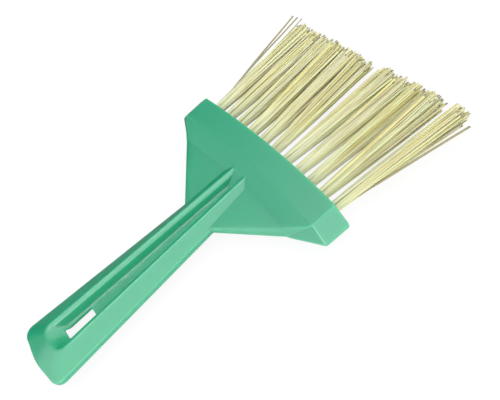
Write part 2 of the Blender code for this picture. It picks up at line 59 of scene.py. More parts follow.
WHITE: Colour = (1.0, 1.0, 1.0, 1.0)
UNIT: Pair = (0.0, 1.0)


class Slot(Enum):
    """Material slots of the record."""

    PLASTIC = "green_plastic"
    STRAW = "straw_fibre"
    ZINC = "zinc_wire"


class Body(Enum):
    """Bodies of the record. Nothing on the brush moves."""

    ROOT = "root"


class Mark(Enum):
    """Attributes that the fibres carry for their material."""

    FIBRE = "fibre"
    ALONG = "along"
    STRAY = "stray"


class Easing(Enum):
    """How a number runs between the ends of a range."""

    LINEAR = "LINEAR"
    SMOOTH = "SMOOTHSTEP"


def srgb(red: int, green: int, blue: int) -> Colour:
    """Turn a colour written as 0 to 255 into the linear values that a shader takes.

    Args:
        red: Red from 0 to 255.
        green: Green from 0 to 255.
        blue: Blue from 0 to 255.

    Returns:
        Linear red, green, blue and an alpha of 1.
    """
    shares = [channel / 255 for channel in (red, green, blue)]
    linear = [s / 12.92 if s <= 0.04045 else ((s + 0.055) / 1.055) ** 2.4 for s in shares]
    return (linear[0], linear[1], linear[2], 1.0)


class Graph:
    """Adds nodes to a tree and wires them."""

    def __init__(self, tree: bpy.types.NodeTree) -> None:
        """Keep the tree that nodes are added to.

        Args:
            tree: Shader or geometry node tree.
        """
        self.tree = tree

    def add(self, kind: str, settings: dict[str, object] | None = None,
            **inputs: object) -> bpy.types.Node:
        """Add a node, set its properties and fill its inputs.

        Args:
            kind: Blender's node type name.
            settings: Properties of the node itself.
            inputs: Values, or sockets to link from, by socket identifier, or else by socket
                name with each space written as an underscore.

        Returns:
            The new node.
        """
        node = self.tree.nodes.new(kind)
        for name, value in (settings or {}).items():
            setattr(node, name, value)
        by_identifier = {socket.identifier: socket for socket in node.inputs}
        for name, value in inputs.items():
            spaced = name.replace("_", " ")
            self.fill(by_identifier[name] if name in by_identifier else node.inputs[spaced], value)
        return node

    def fill(self, socket: Socket, value: object) -> None:
        """Link a socket to another or set its own value.

        Args:
            socket: Input socket to fill.
            value: A socket to link from, or a plain value.
        """
        if isinstance(value, bpy.types.NodeSocket):
            self.tree.links.new(value, socket)
        else:
            socket.default_value = value

    def math(self, operation: str, first: Value, second: Value = 0.0) -> Socket:
        """Add a Math node.

        Args:
            operation: Blender's operation name.
            first: First operand.
            second: Second operand, unused by one-operand operations.

        Returns:
            The result socket.
        """
        node = self.add("ShaderNodeMath", {"operation": operation})
        self.fill(node.inputs[0], first)
        self.fill(node.inputs[1], second)
        return node.outputs[0]

    def plus(self, first: Value, second: Value) -> Socket:
        """Add a node that adds two numbers."""
        return self.math("ADD", first, second)

    def minus(self, first: Value, second: Value) -> Socket:
        """Add a node that takes the second number from the first."""
        return self.math("SUBTRACT", first, second)

    def times(self, first: Value, second: Value) -> Socket:
        """Add a node that multiplies two numbers."""
        return self.math("MULTIPLY", first, second)

    def blend(self, share: Value, first: Value, second: Value) -> Socket:
        """Add a node that mixes two numbers without clamping the share.

        Args:
            share: Share of the second number.
            first: First number.
            second: Second number.

        Returns:
            The mixed number.
        """
        node = self.add("ShaderNodeMix", {"data_type": "FLOAT", "clamp_factor": False},
                        Factor_Float=share, A_Float=first, B_Float=second)
        return node.outputs[0]

    def tint(self, share: Value, first: object, second: object) -> Socket:
        """Add a node that mixes two colours.

        Args:
            share: Share of the second colour.
            first: First colour.
            second: Second colour.

        Returns:
            The mixed colour.
        """
        node = self.add("ShaderNodeMix", {"data_type": "RGBA"},
                        Factor_Float=share, A_Color=first, B_Color=second)
        return node.outputs[2]

    def remap(self, value: Socket, given: Pair, wanted: Pair,
              easing: Easing = Easing.LINEAR) -> Socket:
        """Add a node that moves a number from one range into another and keeps it inside.

        Args:
            value: Number to move.
            given: Start and end of the range that it comes from.
            wanted: Start and end of the range that it goes to.
            easing: How it runs between the ends.

        Returns:
            The moved number.
        """
        node = self.add("ShaderNodeMapRange", {"interpolation_type": easing.value}, Value=value,
                        From_Min=given[0], From_Max=given[1],
                        To_Min=wanted[0], To_Max=wanted[1])
        return node.outputs["Result"]

    def vector(self, x: Value, y: Value, z: Value = 0.0) -> Socket:
        """Add a node that joins three numbers into a vector."""
        return self.add("ShaderNodeCombineXYZ", X=x, Y=y, Z=z).outputs[0]

    def chance(self, number: Value) -> Socket:
        """Add a node that turns a number into a random one from 0 to 1."""
        node = self.add("ShaderNodeTexWhiteNoise", {"noise_dimensions": "1D"}, W=number)
        return node.outputs["Value"]

    def read(self, mark: Mark) -> Socket:
        """Add a node that reads a mark of the fibres in a material."""
        return self.add("ShaderNodeAttribute", {"attribute_name": mark.value}).outputs["Fac"]


def new_material(name: str) -> tuple[bpy.types.Material, Graph, bpy.types.Node]:
    """Start a node material.

    Args:
        name: Name of the material.

    Returns:
        The material, a helper for its tree and its Principled shader.
    """
    material = bpy.data.materials.new(name)
    material.use_nodes = True
    return material, Graph(material.node_tree), material.node_tree.nodes["Principled BSDF"]


def put_in_scene(name: str, data: bpy.types.ID) -> bpy.types.Object:
    """Create an object and link it to the scene.

    Args:
        name: Name of the object.
        data: Its mesh, lamp or camera.

    Returns:
        The object, at the origin.
    """
    made = bpy.data.objects.new(name, data)
    bpy.context.scene.collection.objects.link(made)
    return made


def coat(node: bpy.types.Object, finish: bpy.types.Material) -> None:
    """Give a CAD node one finish in place of what it came with.

    Args:
        node: CAD node.
        finish: The finish.
    """
    node.data.materials.clear()
    node.data.materials.append(finish)


@dataclass(frozen=True)
class GreenPlastic:
    """Glossy injection-moulded polypropylene."""

    colour: Colour = srgb(31, 163, 123)
    cloud_colour: Colour = srgb(37, 166, 127)
    cloud_size: float = 0.045
    cloud_detail: float = 3.0
    roughness: float = 0.36
    roughness_spread: float = 0.03
    grain_size: float = 0.0007
    grain_detail: float = 2.0
    grain_depth: float = 0.000012
    ior: float = 1.78
    skin: float = 0.9
    skin_roughness: float = 0.10
    haze: float = 1.0
    haze_depth: float = 0.0070
    haze_reach: Triple = (0.3, 1.0, 0.6)

    def material(self) -> bpy.types.Material:
        """Build the material.

        Returns:
            Plastic with faint flow clouds, uneven gloss and a very fine moulded grain.
        """
        material, graph, shader = new_material("green_moulded_plastic")
        place = graph.add("ShaderNodeTexCoord").outputs["Object"]
        cloud = graph.add("ShaderNodeTexNoise", Vector=place, Scale=1 / self.cloud_size,
                          Detail=self.cloud_detail).outputs["Fac"]
        gloss = graph.remap(cloud, UNIT, (self.roughness - self.roughness_spread,
                                          self.roughness + self.roughness_spread))
        grain = graph.add("ShaderNodeTexNoise", Vector=place, Scale=1 / self.grain_size,
                          Detail=self.grain_detail).outputs["Fac"]
        bump = graph.add("ShaderNodeBump", Height=grain, Distance=self.grain_depth)
        tone = graph.tint(cloud, self.colour, self.cloud_colour)
        graph.fill(shader.inputs["Base Color"], tone)
        graph.fill(shader.inputs["Roughness"], gloss)
        graph.fill(shader.inputs["Normal"], bump.outputs["Normal"])
        shader.inputs["IOR"].default_value = self.ior
        shader.inputs["Coat Weight"].default_value = self.skin
        shader.inputs["Coat Roughness"].default_value = self.skin_roughness
        shader.inputs["Subsurface Weight"].default_value = self.haze
        shader.inputs["Subsurface Radius"].default_value = self.haze_reach
        shader.inputs["Subsurface Scale"].default_value = self.haze_depth
        return material


@dataclass(frozen=True)
class StrawFibre:
    """Split straw and grass stalks, each of its own pale tone, some with darker cut ends."""

    pale_green: Colour = srgb(217, 221, 171)
    butter: Colour = srgb(221, 215, 146)
    beige: Colour = srgb(213, 205, 163)
    cream: Colour = srgb(221, 221, 182)
    olive: Colour = srgb(180, 172, 106)
    tone_starts: tuple[float, ...] = (0.0, 0.36, 0.58, 0.78, 0.93)
    streak: Colour = srgb(198, 189, 128)
    streak_step: float = 7.31
    streaks_along: float = 5.0
    streak_detail: float = 3.0
    streak_fade: Pair = (0.52, 0.80)
    # Painted light: a paler tone mixed in near the root lifts the shade that falls between the
    # fibres there.
    young: Colour = srgb(238, 240, 198)
    young_share: float = 0.60
    young_reach: float = 0.40
    stray: Colour = srgb(158, 152, 118)
    cut_end: Colour = srgb(148, 142, 124)
    cut_end_share: float = 0.022
    dull_ends: float = 0.40
    dull_draw: float = 0.5
    roughness: float = 0.55
    glow_through: float = 0.35
    glow_depth: float = 0.0010
    glow_reach: Triple = (1.0, 0.95, 0.7)

    def material(self) -> bpy.types.Material:
        """Build the material.

        Returns:
            Straw whose tone follows the number of its fibre and whose streaks run along it.
        """
        material, graph, shader = new_material("straw_fibres")
        number, along = graph.read(Mark.FIBRE), graph.read(Mark.ALONG)
        toned = graph.tint(self.streaks(graph, number, along), self.own_tone(graph, number),
                           self.streak)
        # Painted light: paler towards the root, set against the shade between the fibres at the
        # roots.
        root_light = graph.remap(along, (0.0, self.young_reach), (self.young_share, 0.0))
        toned = graph.tint(root_light, toned, self.young)
        toned = graph.tint(graph.read(Mark.STRAY), toned, self.stray)
        toned = graph.tint(self.dull_end(graph, number, along), toned, self.cut_end)
        graph.fill(shader.inputs["Base Color"], toned)
        shader.inputs["Roughness"].default_value = self.roughness
        shader.inputs["Subsurface Weight"].default_value = self.glow_through
        shader.inputs["Subsurface Radius"].default_value = self.glow_reach
        shader.inputs["Subsurface Scale"].default_value = self.glow_depth
        return material

    def own_tone(self, graph: Graph, number: Socket) -> Socket:
        """Wire the tone that each fibre draws from the five.

        Args:
            graph: Tree of the material.
            number: Number of the fibre.

        Returns:
            Socket of a tone that is the same along the whole fibre.
        """
        node = graph.add("ShaderNodeValToRGB", Fac=graph.chance(number))
        ramp = node.color_ramp
        ramp.interpolation = "CONSTANT"
        tones = (self.pale_green, self.butter, self.beige, self.cream, self.olive)
        for start in self.tone_starts[len(ramp.elements):]:
            ramp.elements.new(start)
        for stop, start, tone in zip(ramp.elements, self.tone_starts, tones):
            stop.position = start
            stop.color = tone
        return node.outputs["Color"]

    def streaks(self, graph: Graph, number: Socket, along: Socket) -> Socket:
        """Wire how strong the streaks are that run along a fibre.

        Args:
            graph: Tree of the material.
            number: Number of the fibre.
            along: Place along the fibre, from 0 at the hole to 1 at the tip.

        Returns:
            Socket of the strength.
        """
        run = graph.vector(graph.times(number, self.streak_step),
                           graph.times(along, self.streaks_along))
        noise = graph.add("ShaderNodeTexNoise", Vector=run, Scale=1.0, Detail=self.streak_detail)
        return graph.remap(noise.outputs["Fac"], self.streak_fade, UNIT)

    def dull_end(self, graph: Graph, number: Socket, along: Socket) -> Socket:
        """Wire which fibres have a dull cut end.

        Args:
            graph: Tree of the material.
            number: Number of the fibre.
            along: Place along the fibre, from 0 at the hole to 1 at the tip.

        Returns:
            Socket that is 1 at a dull end and 0 elsewhere.
        """
        at_end = graph.math("GREATER_THAN", along, 1.0 - self.cut_end_share)
        drawn = graph.chance(graph.plus(number, self.dull_draw))
        return graph.times(at_end, graph.math("LESS_THAN", drawn, self.dull_ends))


@dataclass(frozen=True)
class ZincSteel:
    """Galvanised steel of the anchor strips."""

    light: Colour = srgb(196, 198, 197)
    dark: Colour = srgb(158, 161, 162)
    spangle_size: float = 0.0012
    roughness: float = 0.34

    def material(self) -> bpy.types.Material:
        """Build the material.

        Returns:
            Dull metal with the crystal pattern of a zinc coat.
        """
        material, graph, shader = new_material("zinc_coated_steel")
        place = graph.add("ShaderNodeTexCoord").outputs["Object"]
        spangle = graph.add("ShaderNodeTexVoronoi", Vector=place, Scale=1 / self.spangle_size)
        tone = graph.add("ShaderNodeSeparateColor", Color=spangle.outputs["Color"]).outputs[0]
        graph.fill(shader.inputs["Base Color"], graph.tint(tone, self.light, self.dark))
        shader.inputs["Metallic"].default_value = 1.0
        shader.inputs["Roughness"].default_value = self.roughness
        return material


@dataclass(frozen=True)
class WhiteFloor:
    """Pale floor, faint shadow, near white to camera, painted darker on the left in gloss."""

    own_colour: Colour = (0.80, 0.80, 0.80, 1.0)
    shown_colour: Colour = (0.10, 0.10, 0.10, 1.0)
    glow: float = 0.90
    # Painted light: the glow that reflections see rises from left to right, as if the floor were
    # lit from the right.
    mirrored_glow: Pair = (0.05, 0.90)
    mirrored_reach: Pair = (-0.015, 0.045)

    def material(self) -> bpy.types.Material:
        """Build the material.

        Returns:
            A plain diffuse surface for the light it bounces, and near white to the eye.
        """
        material, graph, shader = new_material("white_floor")
        material.node_tree.nodes.remove(shader)
        rays = graph.add("ShaderNodeLightPath").outputs
        place = graph.add("ShaderNodeTexCoord").outputs["Object"]
        across = graph.add("ShaderNodeSeparateXYZ", Vector=place).outputs["X"]
        # Painted light: the floor is brighter on the right for reflections, as if the window lit
        # it.
        side_lit_glow = graph.remap(across, self.mirrored_reach, self.mirrored_glow, Easing.SMOOTH)
        strength = graph.blend(rays["Is Glossy Ray"], self.glow, side_lit_glow)
        glow = graph.add("ShaderNodeEmission", Strength=strength).outputs[0]
        faint = graph.add("ShaderNodeBsdfDiffuse", Color=self.shown_colour).outputs[0]
        shown = graph.add("ShaderNodeAddShader", Shader=glow, Shader_001=faint).outputs[0]
        plain = graph.add("ShaderNodeBsdfDiffuse", Color=self.own_colour).outputs[0]
        mix = graph.add("ShaderNodeMixShader", Fac=self.seen(graph, rays), Shader=plain,
                        Shader_001=shown)
        out = material.node_tree.nodes["Material Output"]
        graph.fill(out.inputs["Surface"], mix.outputs[0])
        return material

    def seen(self, graph: Graph, rays: bpy.types.NodeOutputs) -> Socket:
        """Wire a number that is 1 for what the camera, reflections and glass see.

        Args:
            graph: Tree of the floor.
            rays: Outputs of its Light Path node.

        Returns:
            Socket that is 1 for camera, glossy and transmission rays and 0 for others.
        """
        share = graph.math("MAXIMUM", rays["Is Camera Ray"], rays["Is Glossy Ray"])
        return graph.math("MAXIMUM", share, rays["Is Transmission Ray"])


@dataclass(frozen=True)
class SmoothShading:
    """Joins the loose triangles of a CAD node for shading only and keeps its real edges crisp."""

    weld_distance: float = 0.000005
    crisp_angle: float = math.radians(24.0)
    face_weight: int = 50

    def tree(self) -> bpy.types.NodeTree:
        """Build the tree that welds a mesh and marks the edges that stay crisp.

        Returns:
            A geometry node tree with one mesh in and one mesh out.
        """
        tree = bpy.data.node_groups.new("weld_and_shade", "GeometryNodeTree")
        tree.interface.new_socket("Mesh", in_out="INPUT", socket_type="NodeSocketGeometry")
        tree.interface.new_socket("Mesh", in_out="OUTPUT", socket_type="NodeSocketGeometry")
        graph = Graph(tree)
        given = graph.add("NodeGroupInput").outputs["Mesh"]
        welded = graph.add("GeometryNodeMergeByDistance", Geometry=given,
                           Distance=self.weld_distance)
        faces = graph.add("GeometryNodeSetShadeSmooth", {"domain": "FACE"},
                          Geometry=welded.outputs[0], Shade_Smooth=True)
        angle = graph.add("GeometryNodeInputMeshEdgeAngle").outputs[0]
        crisp = graph.math("GREATER_THAN", angle, self.crisp_angle)
        edges = graph.add("GeometryNodeSetShadeSmooth", {"domain": "EDGE"},
                          Geometry=faces.outputs[0], Selection=crisp, Shade_Smooth=False)
        graph.add("NodeGroupOutput", Mesh=edges.outputs[0])
        return tree

    def apply_to(self, node: bpy.types.Object) -> None:
        """Add the shading modifiers to a CAD node.

        Args:
            node: CAD node.
        """
        weld = node.modifiers.new("weld and shade", "NODES")
        weld.node_group = self.tree()
        normals = node.modifiers.new("even normals", "WEIGHTED_NORMAL")
        normals.keep_sharp = True
        normals.weight = self.face_weight


@dataclass(frozen=True)
class MouldedBody:
    """Handle, web and head in one moulding. Its shape is the CAD node's own."""

    node_name: str = "brush_body"
    shading: SmoothShading = SmoothShading()

    def dress(self, finish: bpy.types.Material) -> bpy.types.Object:
        """Give the CAD node its finish.

        Args:
            finish: Green plastic.

        Returns:
            The dressed node.
        """
        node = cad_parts[self.node_name]
        coat(node, finish)
        self.shading.apply_to(node)
        return node


@dataclass(frozen=True)
class AnchorStrips:
    """Metal strips that the tufts are folded over, hidden in their holes."""

    prefix: str = "tuft_anchor_"

    def dress(self, finish: bpy.types.Material) -> list[bpy.types.Object]:
        """Give each strip its finish.

        Args:
            finish: Zinc-coated steel.

        Returns:
            The dressed nodes, from left to right.
        """
        names = sorted(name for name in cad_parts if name.startswith(self.prefix))
        nodes = [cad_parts[name] for name in names]
        for node in nodes:
            coat(node, finish)
        return nodes


@dataclass(frozen=True)
class FibreForm:
    """Sizes that every tuft shares, in metres. Each field is an input of the tree."""

    fibres: int = 112
    free_stations: int = 6
    sides: int = 6
    root_half_width: float = 0.0029
    root_half_height: float = 0.0024
    anchor_gap: float = 0.0011
    fold_height: float = 0.0112
    fibre_width: float = 0.00165
    fibre_thickness: float = 0.00050
    flat_turn: float = 0.25
    tip_half_width: float = 0.0066
    tip_half_height: float = 0.0070
    tip_stagger: float = 0.0075
    spread_power: float = 0.92
    drift_power: float = 1.05
    wave: float = 0.0005
    clumps: int = 8
    clump_pull: float = 0.40


class Draw(Enum):
    """Channels of the random numbers that each fibre draws."""

    WIDTH = 1
    FLAT_TURN = 2
    RIPPLE_TURNS_X = 3
    RIPPLE_SWING_X = 4
    RIPPLE_TURNS_Y = 5
    RIPPLE_SWING_Y = 6
    TIP_X = 7
    TIP_Y = 8
    CLUMP_PULL = 9
    SHORTFALL = 11


class FibreTree:
    """Geometry Nodes tree that grows one folded tuft in the tuft's own frame.

    Local X runs along the head, local Y through its thickness and local Z out of the hole.
    Each fibre starts in the fold below the anchor, climbs beside it and fans out to its tip.
    """

    COUNTS: tuple[str, ...] = ("fibres", "free_stations", "sides", "clumps", "strays", "seed")
    SIZES: tuple[str, ...] = (
        "root_half_width", "root_half_height", "anchor_gap", "fold_height", "fibre_width",
        "fibre_thickness", "flat_turn", "tip_half_width", "tip_half_height", "tip_drift",
        "tip_slope", "tip_stagger", "length", "spread_power", "drift_power", "wave",
        "clump_pull", "stray_reach", "stray_extra")
    NUMBER: str = "fibre_number"
    # Stations of a fibre from the fold to the mouth of the hole.
    HOLE_STATIONS: int = 2
    # More than the seeds of the tufts are apart, so no two channels share a seed.
    DRAW_STEP: float = 17.0
    # More than a tuft has fibres, so each fibre of the brush has its own number.
    NUMBERS_PER_TUFT: float = 1000.0
    # Turn and half step that spread points evenly over a disc.
    GOLDEN_ANGLE: float = math.pi * (3 - math.sqrt(5))
    HALF_STEP: float = 0.5
    CIRCLE_RADIUS: float = 0.5
    BOTH_WAYS: Pair = (-1.0, 1.0)
    WIDTH_SPREAD: Pair = (0.62, 1.25)
    WIDTH_AT_TIP: float = 0.86
    TIP_SCATTER: Pair = (0.30, 0.12)
    CLUMP_EDGE: float = 0.9
    PULL_SPREAD: Pair = (0.2, 1.0)
    STRAY_STEP: float = 0.30
    RIPPLE_ANGLES: Pair = (2.0, 5.5)
    SHORTFALL_POWER: float = 1.6

    def __init__(self) -> None:
        """Create the tree with its inputs and wire it."""
        self.tree = bpy.data.node_groups.new("folded_tuft", "GeometryNodeTree")
        self.identifiers: dict[str, str] = {}
        self.tree.interface.new_socket("Mesh", in_out="OUTPUT", socket_type="NodeSocketGeometry")
        for name in self.COUNTS:
            self.add_input(name, "NodeSocketInt")
        for name in self.SIZES:
            self.add_input(name, "NodeSocketFloat")
        self.add_input("material", "NodeSocketMaterial")
        self.graph = graph = Graph(self.tree)
        self.given = graph.add("NodeGroupInput").outputs
        stored = graph.add("GeometryNodeInputNamedAttribute", {"data_type": "INT"},
                           Name=self.NUMBER)
        self.number = stored.outputs["Attribute"]
        station = graph.add("GeometryNodeSplineParameter").outputs["Index"]
        self.in_hole = graph.math("MINIMUM", graph.math("DIVIDE", station, self.HOLE_STATIONS), 1.0)
        past_hole = graph.math("MAXIMUM", graph.minus(station, self.HOLE_STATIONS), 0.0)
        self.free = graph.math("DIVIDE", past_hole, self.given["free_stations"])
        self.wire()

    def add_input(self, name: str, kind: str) -> None:
        """Add a named input and note its identifier.

        Args:
            name: Input name.
            kind: Blender's socket type.
        """
        socket = self.tree.interface.new_socket(name, in_out="INPUT", socket_type=kind)
        self.identifiers[name] = socket.identifier

    def draw(self, channel: Draw, reach: Pair) -> Socket:
        """Wire one random number a fibre.

        Args:
            channel: What the number is for.
            reach: Least and greatest value.

        Returns:
            Socket of the number, the same along the whole fibre.
        """
        seed = self.graph.plus(self.given["seed"], channel.value * self.DRAW_STEP)
        node = self.graph.add("FunctionNodeRandomValue", {"data_type": "FLOAT"},
                              Min_001=reach[0], Max_001=reach[1], ID=self.number, Seed=seed)
        return node.outputs[1]

    def wire(self) -> None:
        """Wire the chain from straight lines to the finished mesh."""
        graph, given = self.graph, self.given
        placed = graph.add("GeometryNodeSetPosition", Geometry=self.lines(), Position=self.place())
        sized = graph.add("GeometryNodeSetCurveRadius", Curve=placed.outputs[0],
                          Radius=self.width_share())
        turned = graph.add("GeometryNodeSetCurveNormal", {"mode": "FREE"}, Curve=sized.outputs[0],
                           Normal=self.flat_direction())
        unique = graph.plus(self.number, graph.times(given["seed"], self.NUMBERS_PER_TUFT))
        curve = self.store(turned.outputs[0], Mark.ALONG, self.free)
        curve = self.store(curve, Mark.FIBRE, unique)
        curve = self.store(curve, Mark.STRAY, self.is_stray())
        mesh = graph.add("GeometryNodeCurveToMesh", Curve=curve, Profile_Curve=self.profile(),
                         Scale=graph.add("GeometryNodeInputRadius").outputs[0], Fill_Caps=True)
        facets = graph.add("GeometryNodeSetShadeSmooth", Geometry=mesh.outputs[0],
                           Shade_Smooth=False)
        real = graph.add("GeometryNodeRealizeInstances", Geometry=facets.outputs[0])
        dressed = graph.add("GeometryNodeSetMaterial", Geometry=real.outputs[0],
                            Material=given["material"])
        graph.add("NodeGroupOutput", Mesh=dressed.outputs[0])

    def lines(self) -> Socket:
        """Wire one straight line of stations for each fibre, with its number stored on it.

        Returns:
            Socket of the lines.
        """
        graph, given = self.graph, self.given
        stations = graph.plus(given["free_stations"], self.HOLE_STATIONS + 1)
        line = graph.add("GeometryNodeCurvePrimitiveLine")
        evenly = graph.add("GeometryNodeResampleCurve", Curve=line.outputs[0], Count=stations)
        copies = graph.add("GeometryNodeDuplicateElements", {"domain": "SPLINE"},
                           Geometry=evenly.outputs[0], Amount=given["fibres"])
        numbered = graph.add("GeometryNodeStoreNamedAttribute",
                             {"data_type": "INT", "domain": "POINT"},
                             Geometry=copies.outputs[0], Name=self.NUMBER,
                             Value=copies.outputs["Duplicate Index"])
        return numbered.outputs[0]

    def store(self, curve: Socket, mark: Mark, value: Socket) -> Socket:
        """Wire a mark onto the fibres for their material.

        Args:
            curve: The fibres.
            mark: Which mark.
            value: What it holds.

        Returns:
            Socket of the marked fibres.
        """
        node = self.graph.add("GeometryNodeStoreNamedAttribute",
                              {"data_type": "FLOAT", "domain": "POINT"},
                              Geometry=curve, Name=mark.value, Value=value)
        return node.outputs[0]

    def width_share(self) -> Socket:
        """Wire a fibre's own width, as a share of the usual one, less towards its tip."""
        taper = self.graph.blend(self.free, 1.0, self.WIDTH_AT_TIP)
        return self.graph.times(self.draw(Draw.WIDTH, self.WIDTH_SPREAD), taper)

    def flat_direction(self) -> Socket:
        """Wire which way a fibre's flat section is turned.

        Returns:
            Socket of the direction that the curve's normal takes.
        """
        graph = self.graph
        turn = graph.times(self.draw(Draw.FLAT_TURN, self.BOTH_WAYS), self.given["flat_turn"])
        return graph.vector(graph.math("COSINE", turn), graph.math("SINE", turn))

    def profile(self) -> Socket:
        """Wire the flat oval section of a fibre.

        Returns:
            Socket of the section's curve.
        """
        graph = self.graph
        circle = graph.add("GeometryNodeCurvePrimitiveCircle", Resolution=self.given["sides"],
                           Radius=self.CIRCLE_RADIUS)
        scale = graph.vector(self.given["fibre_width"], self.given["fibre_thickness"], 1.0)
        return graph.add("GeometryNodeTransform", Geometry=circle.outputs[0],
                         Scale=scale).outputs[0]

    def place(self) -> Socket:
        """Wire where a station of a fibre lies.

        Returns:
            Socket of the position in the tuft's frame.
        """
        graph, given = self.graph, self.given
        share = graph.math("SQRT", graph.math("DIVIDE", graph.plus(self.number, self.HALF_STEP),
                                              given["fibres"]))
        angle = graph.times(self.number, self.GOLDEN_ANGLE)
        away_x = graph.times(graph.math("COSINE", angle), share)
        away_y = graph.times(graph.math("SINE", angle), share)
        root_x, root_y = self.root(away_x, away_y)
        tip_x, tip_y = self.tip(away_x, away_y)
        fan = graph.math("POWER", self.free, given["spread_power"])
        bend = graph.times(given["tip_drift"],
                           graph.math("POWER", self.free, given["drift_power"]))
        x = graph.plus(graph.plus(graph.blend(fan, root_x, tip_x), bend),
                       self.ripple(Draw.RIPPLE_TURNS_X, Draw.RIPPLE_SWING_X))
        y = graph.plus(graph.blend(fan, root_y, tip_y),
                       self.ripple(Draw.RIPPLE_TURNS_Y, Draw.RIPPLE_SWING_Y))
        # The first step in the hole goes sideways from the fold, the second climbs to the mouth.
        step = graph.times(self.in_hole, self.HOLE_STATIONS)
        fold = graph.math("MINIMUM", step, 1.0)
        climb = graph.math("MAXIMUM", graph.minus(step, 1.0), 0.0)
        down = graph.times(given["fold_height"], graph.minus(climb, 1.0))
        out = graph.times(self.free, self.reach(graph.plus(tip_x, given["tip_drift"])))
        return graph.vector(graph.times(x, fold), y, graph.plus(down, out))

    def root(self, away_x: Socket, away_y: Socket) -> tuple[Socket, Socket]:
        """Wire a fibre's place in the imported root, clear of the anchor between the two legs.

        Args:
            away_x: Place across the bundle, from -1 to 1.
            away_y: Place through the bundle, from -1 to 1.

        Returns:
            Local x and y of the root.
        """
        graph, given = self.graph, self.given
        offset = graph.blend(graph.math("ABSOLUTE", away_x), given["anchor_gap"],
                             given["root_half_width"])
        x = graph.times(graph.math("SIGN", away_x), offset)
        return x, graph.times(away_y, given["root_half_height"])

    def tip(self, away_x: Socket, away_y: Socket) -> tuple[Socket, Socket]:
        """Wire a fibre's tip across the bundle, drawn towards the nearest of a few clumps.

        Args:
            away_x: Place across the bundle, from -1 to 1.
            away_y: Place through the bundle, from -1 to 1.

        Returns:
            Local x and y of the tip, before the whole tuft's drift is added.
        """
        graph, given = self.graph, self.given
        scatter_x, scatter_y = self.TIP_SCATTER
        x = graph.times(graph.plus(away_x, self.draw(Draw.TIP_X, (-scatter_x, scatter_x))),
                        given["tip_half_width"])
        y = graph.times(graph.plus(away_y, self.draw(Draw.TIP_Y, (-scatter_y, scatter_y))),
                        given["tip_half_height"])
        clump_x, clump_y = self.nearest_clump(x, y)
        pull = graph.times(given["clump_pull"], self.draw(Draw.CLUMP_PULL, self.PULL_SPREAD))
        steps_back = graph.minus(1.0, graph.times(self.number, self.STRAY_STEP))
        stray_x = graph.minus(graph.times(given["stray_reach"], steps_back), given["tip_drift"])
        x = graph.blend(self.is_stray(), graph.blend(pull, x, clump_x), stray_x)
        return x, graph.blend(pull, y, clump_y)

    def is_stray(self) -> Socket:
        """Wire a number that is 1 for the few fibres that stand away from the tuft."""
        return self.graph.math("LESS_THAN", self.number, self.given["strays"])

    def nearest_clump(self, x: Socket, y: Socket) -> tuple[Socket, Socket]:
        """Wire the middle of the clump that is nearest to a tip.

        Args:
            x: Local x of the tip.
            y: Local y of the tip.

        Returns:
            Local x and y of the clump.
        """
        graph = self.graph
        spots = graph.add("GeometryNodePoints", Count=self.given["clumps"],
                          Position=self.clump_spot())
        near = graph.add("GeometryNodeSampleNearest", Geometry=spots.outputs[0],
                         Sample_Position=graph.vector(x, y))
        position = graph.add("GeometryNodeInputPosition").outputs[0]
        found = graph.add("GeometryNodeSampleIndex", {"data_type": "FLOAT_VECTOR"},
                          Geometry=spots.outputs[0], Value=position, Index=near.outputs[0])
        spot = graph.add("ShaderNodeSeparateXYZ", Vector=found.outputs[0]).outputs
        return spot["X"], spot["Y"]

    def clump_spot(self) -> Socket:
        """Wire the middle of a clump.

        Returns:
            Socket of a random place in the box that the tips fill.
        """
        graph, edge = self.graph, self.CLUMP_EDGE
        index = graph.add("GeometryNodeInputIndex").outputs[0]
        drawn = graph.add("FunctionNodeRandomValue", {"data_type": "FLOAT_VECTOR"},
                          Min=(-edge, -edge, 0.0), Max=(edge, edge, 0.0), ID=index,
                          Seed=self.given["seed"]).outputs[0]
        box = graph.vector(self.given["tip_half_width"], self.given["tip_half_height"])
        return graph.add("ShaderNodeVectorMath", {"operation": "MULTIPLY"}, Vector=drawn,
                         Vector_001=box).outputs[0]

    def ripple(self, turns: Draw, swing: Draw) -> Socket:
        """Wire a slow sideways wander that is nothing at the root.

        Args:
            turns: Channel of how far the wander gets through its wave.
            swing: Channel of how wide it is.

        Returns:
            Socket of the offset.
        """
        graph = self.graph
        angle = graph.times(self.free, self.draw(turns, self.RIPPLE_ANGLES))
        width = graph.times(self.draw(swing, self.BOTH_WAYS), self.given["wave"])
        return graph.times(graph.math("SINE", angle), width)

    def reach(self, tip_x: Socket) -> Socket:
        """Wire how far out of the hole a fibre's tip lies.

        Args:
            tip_x: Local x of the tip.

        Returns:
            Socket of the length that ends on the trimmed line, less the fibre's own shortfall,
            or past that line for a stray one.
        """
        graph, given = self.graph, self.given
        trimmed = graph.plus(given["length"], graph.times(given["tip_slope"], tip_x))
        drawn = graph.math("POWER", self.draw(Draw.SHORTFALL, UNIT), self.SHORTFALL_POWER)
        shorter = graph.minus(trimmed, graph.times(drawn, given["tip_stagger"]))
        longer = graph.plus(trimmed, given["stray_extra"])
        return graph.blend(self.is_stray(), shorter, longer)


@dataclass(frozen=True)
class Strays:
    """The few fibres that stand away from a tuft."""

    count: int = 0
    reach: float = 0.0
    extra: float = 0.0


def leaning(lean: float) -> Vector:
    """Direction out of the head, turned to the right by an angle in radians."""
    return Vector((math.sin(lean), math.cos(lean), 0.0))


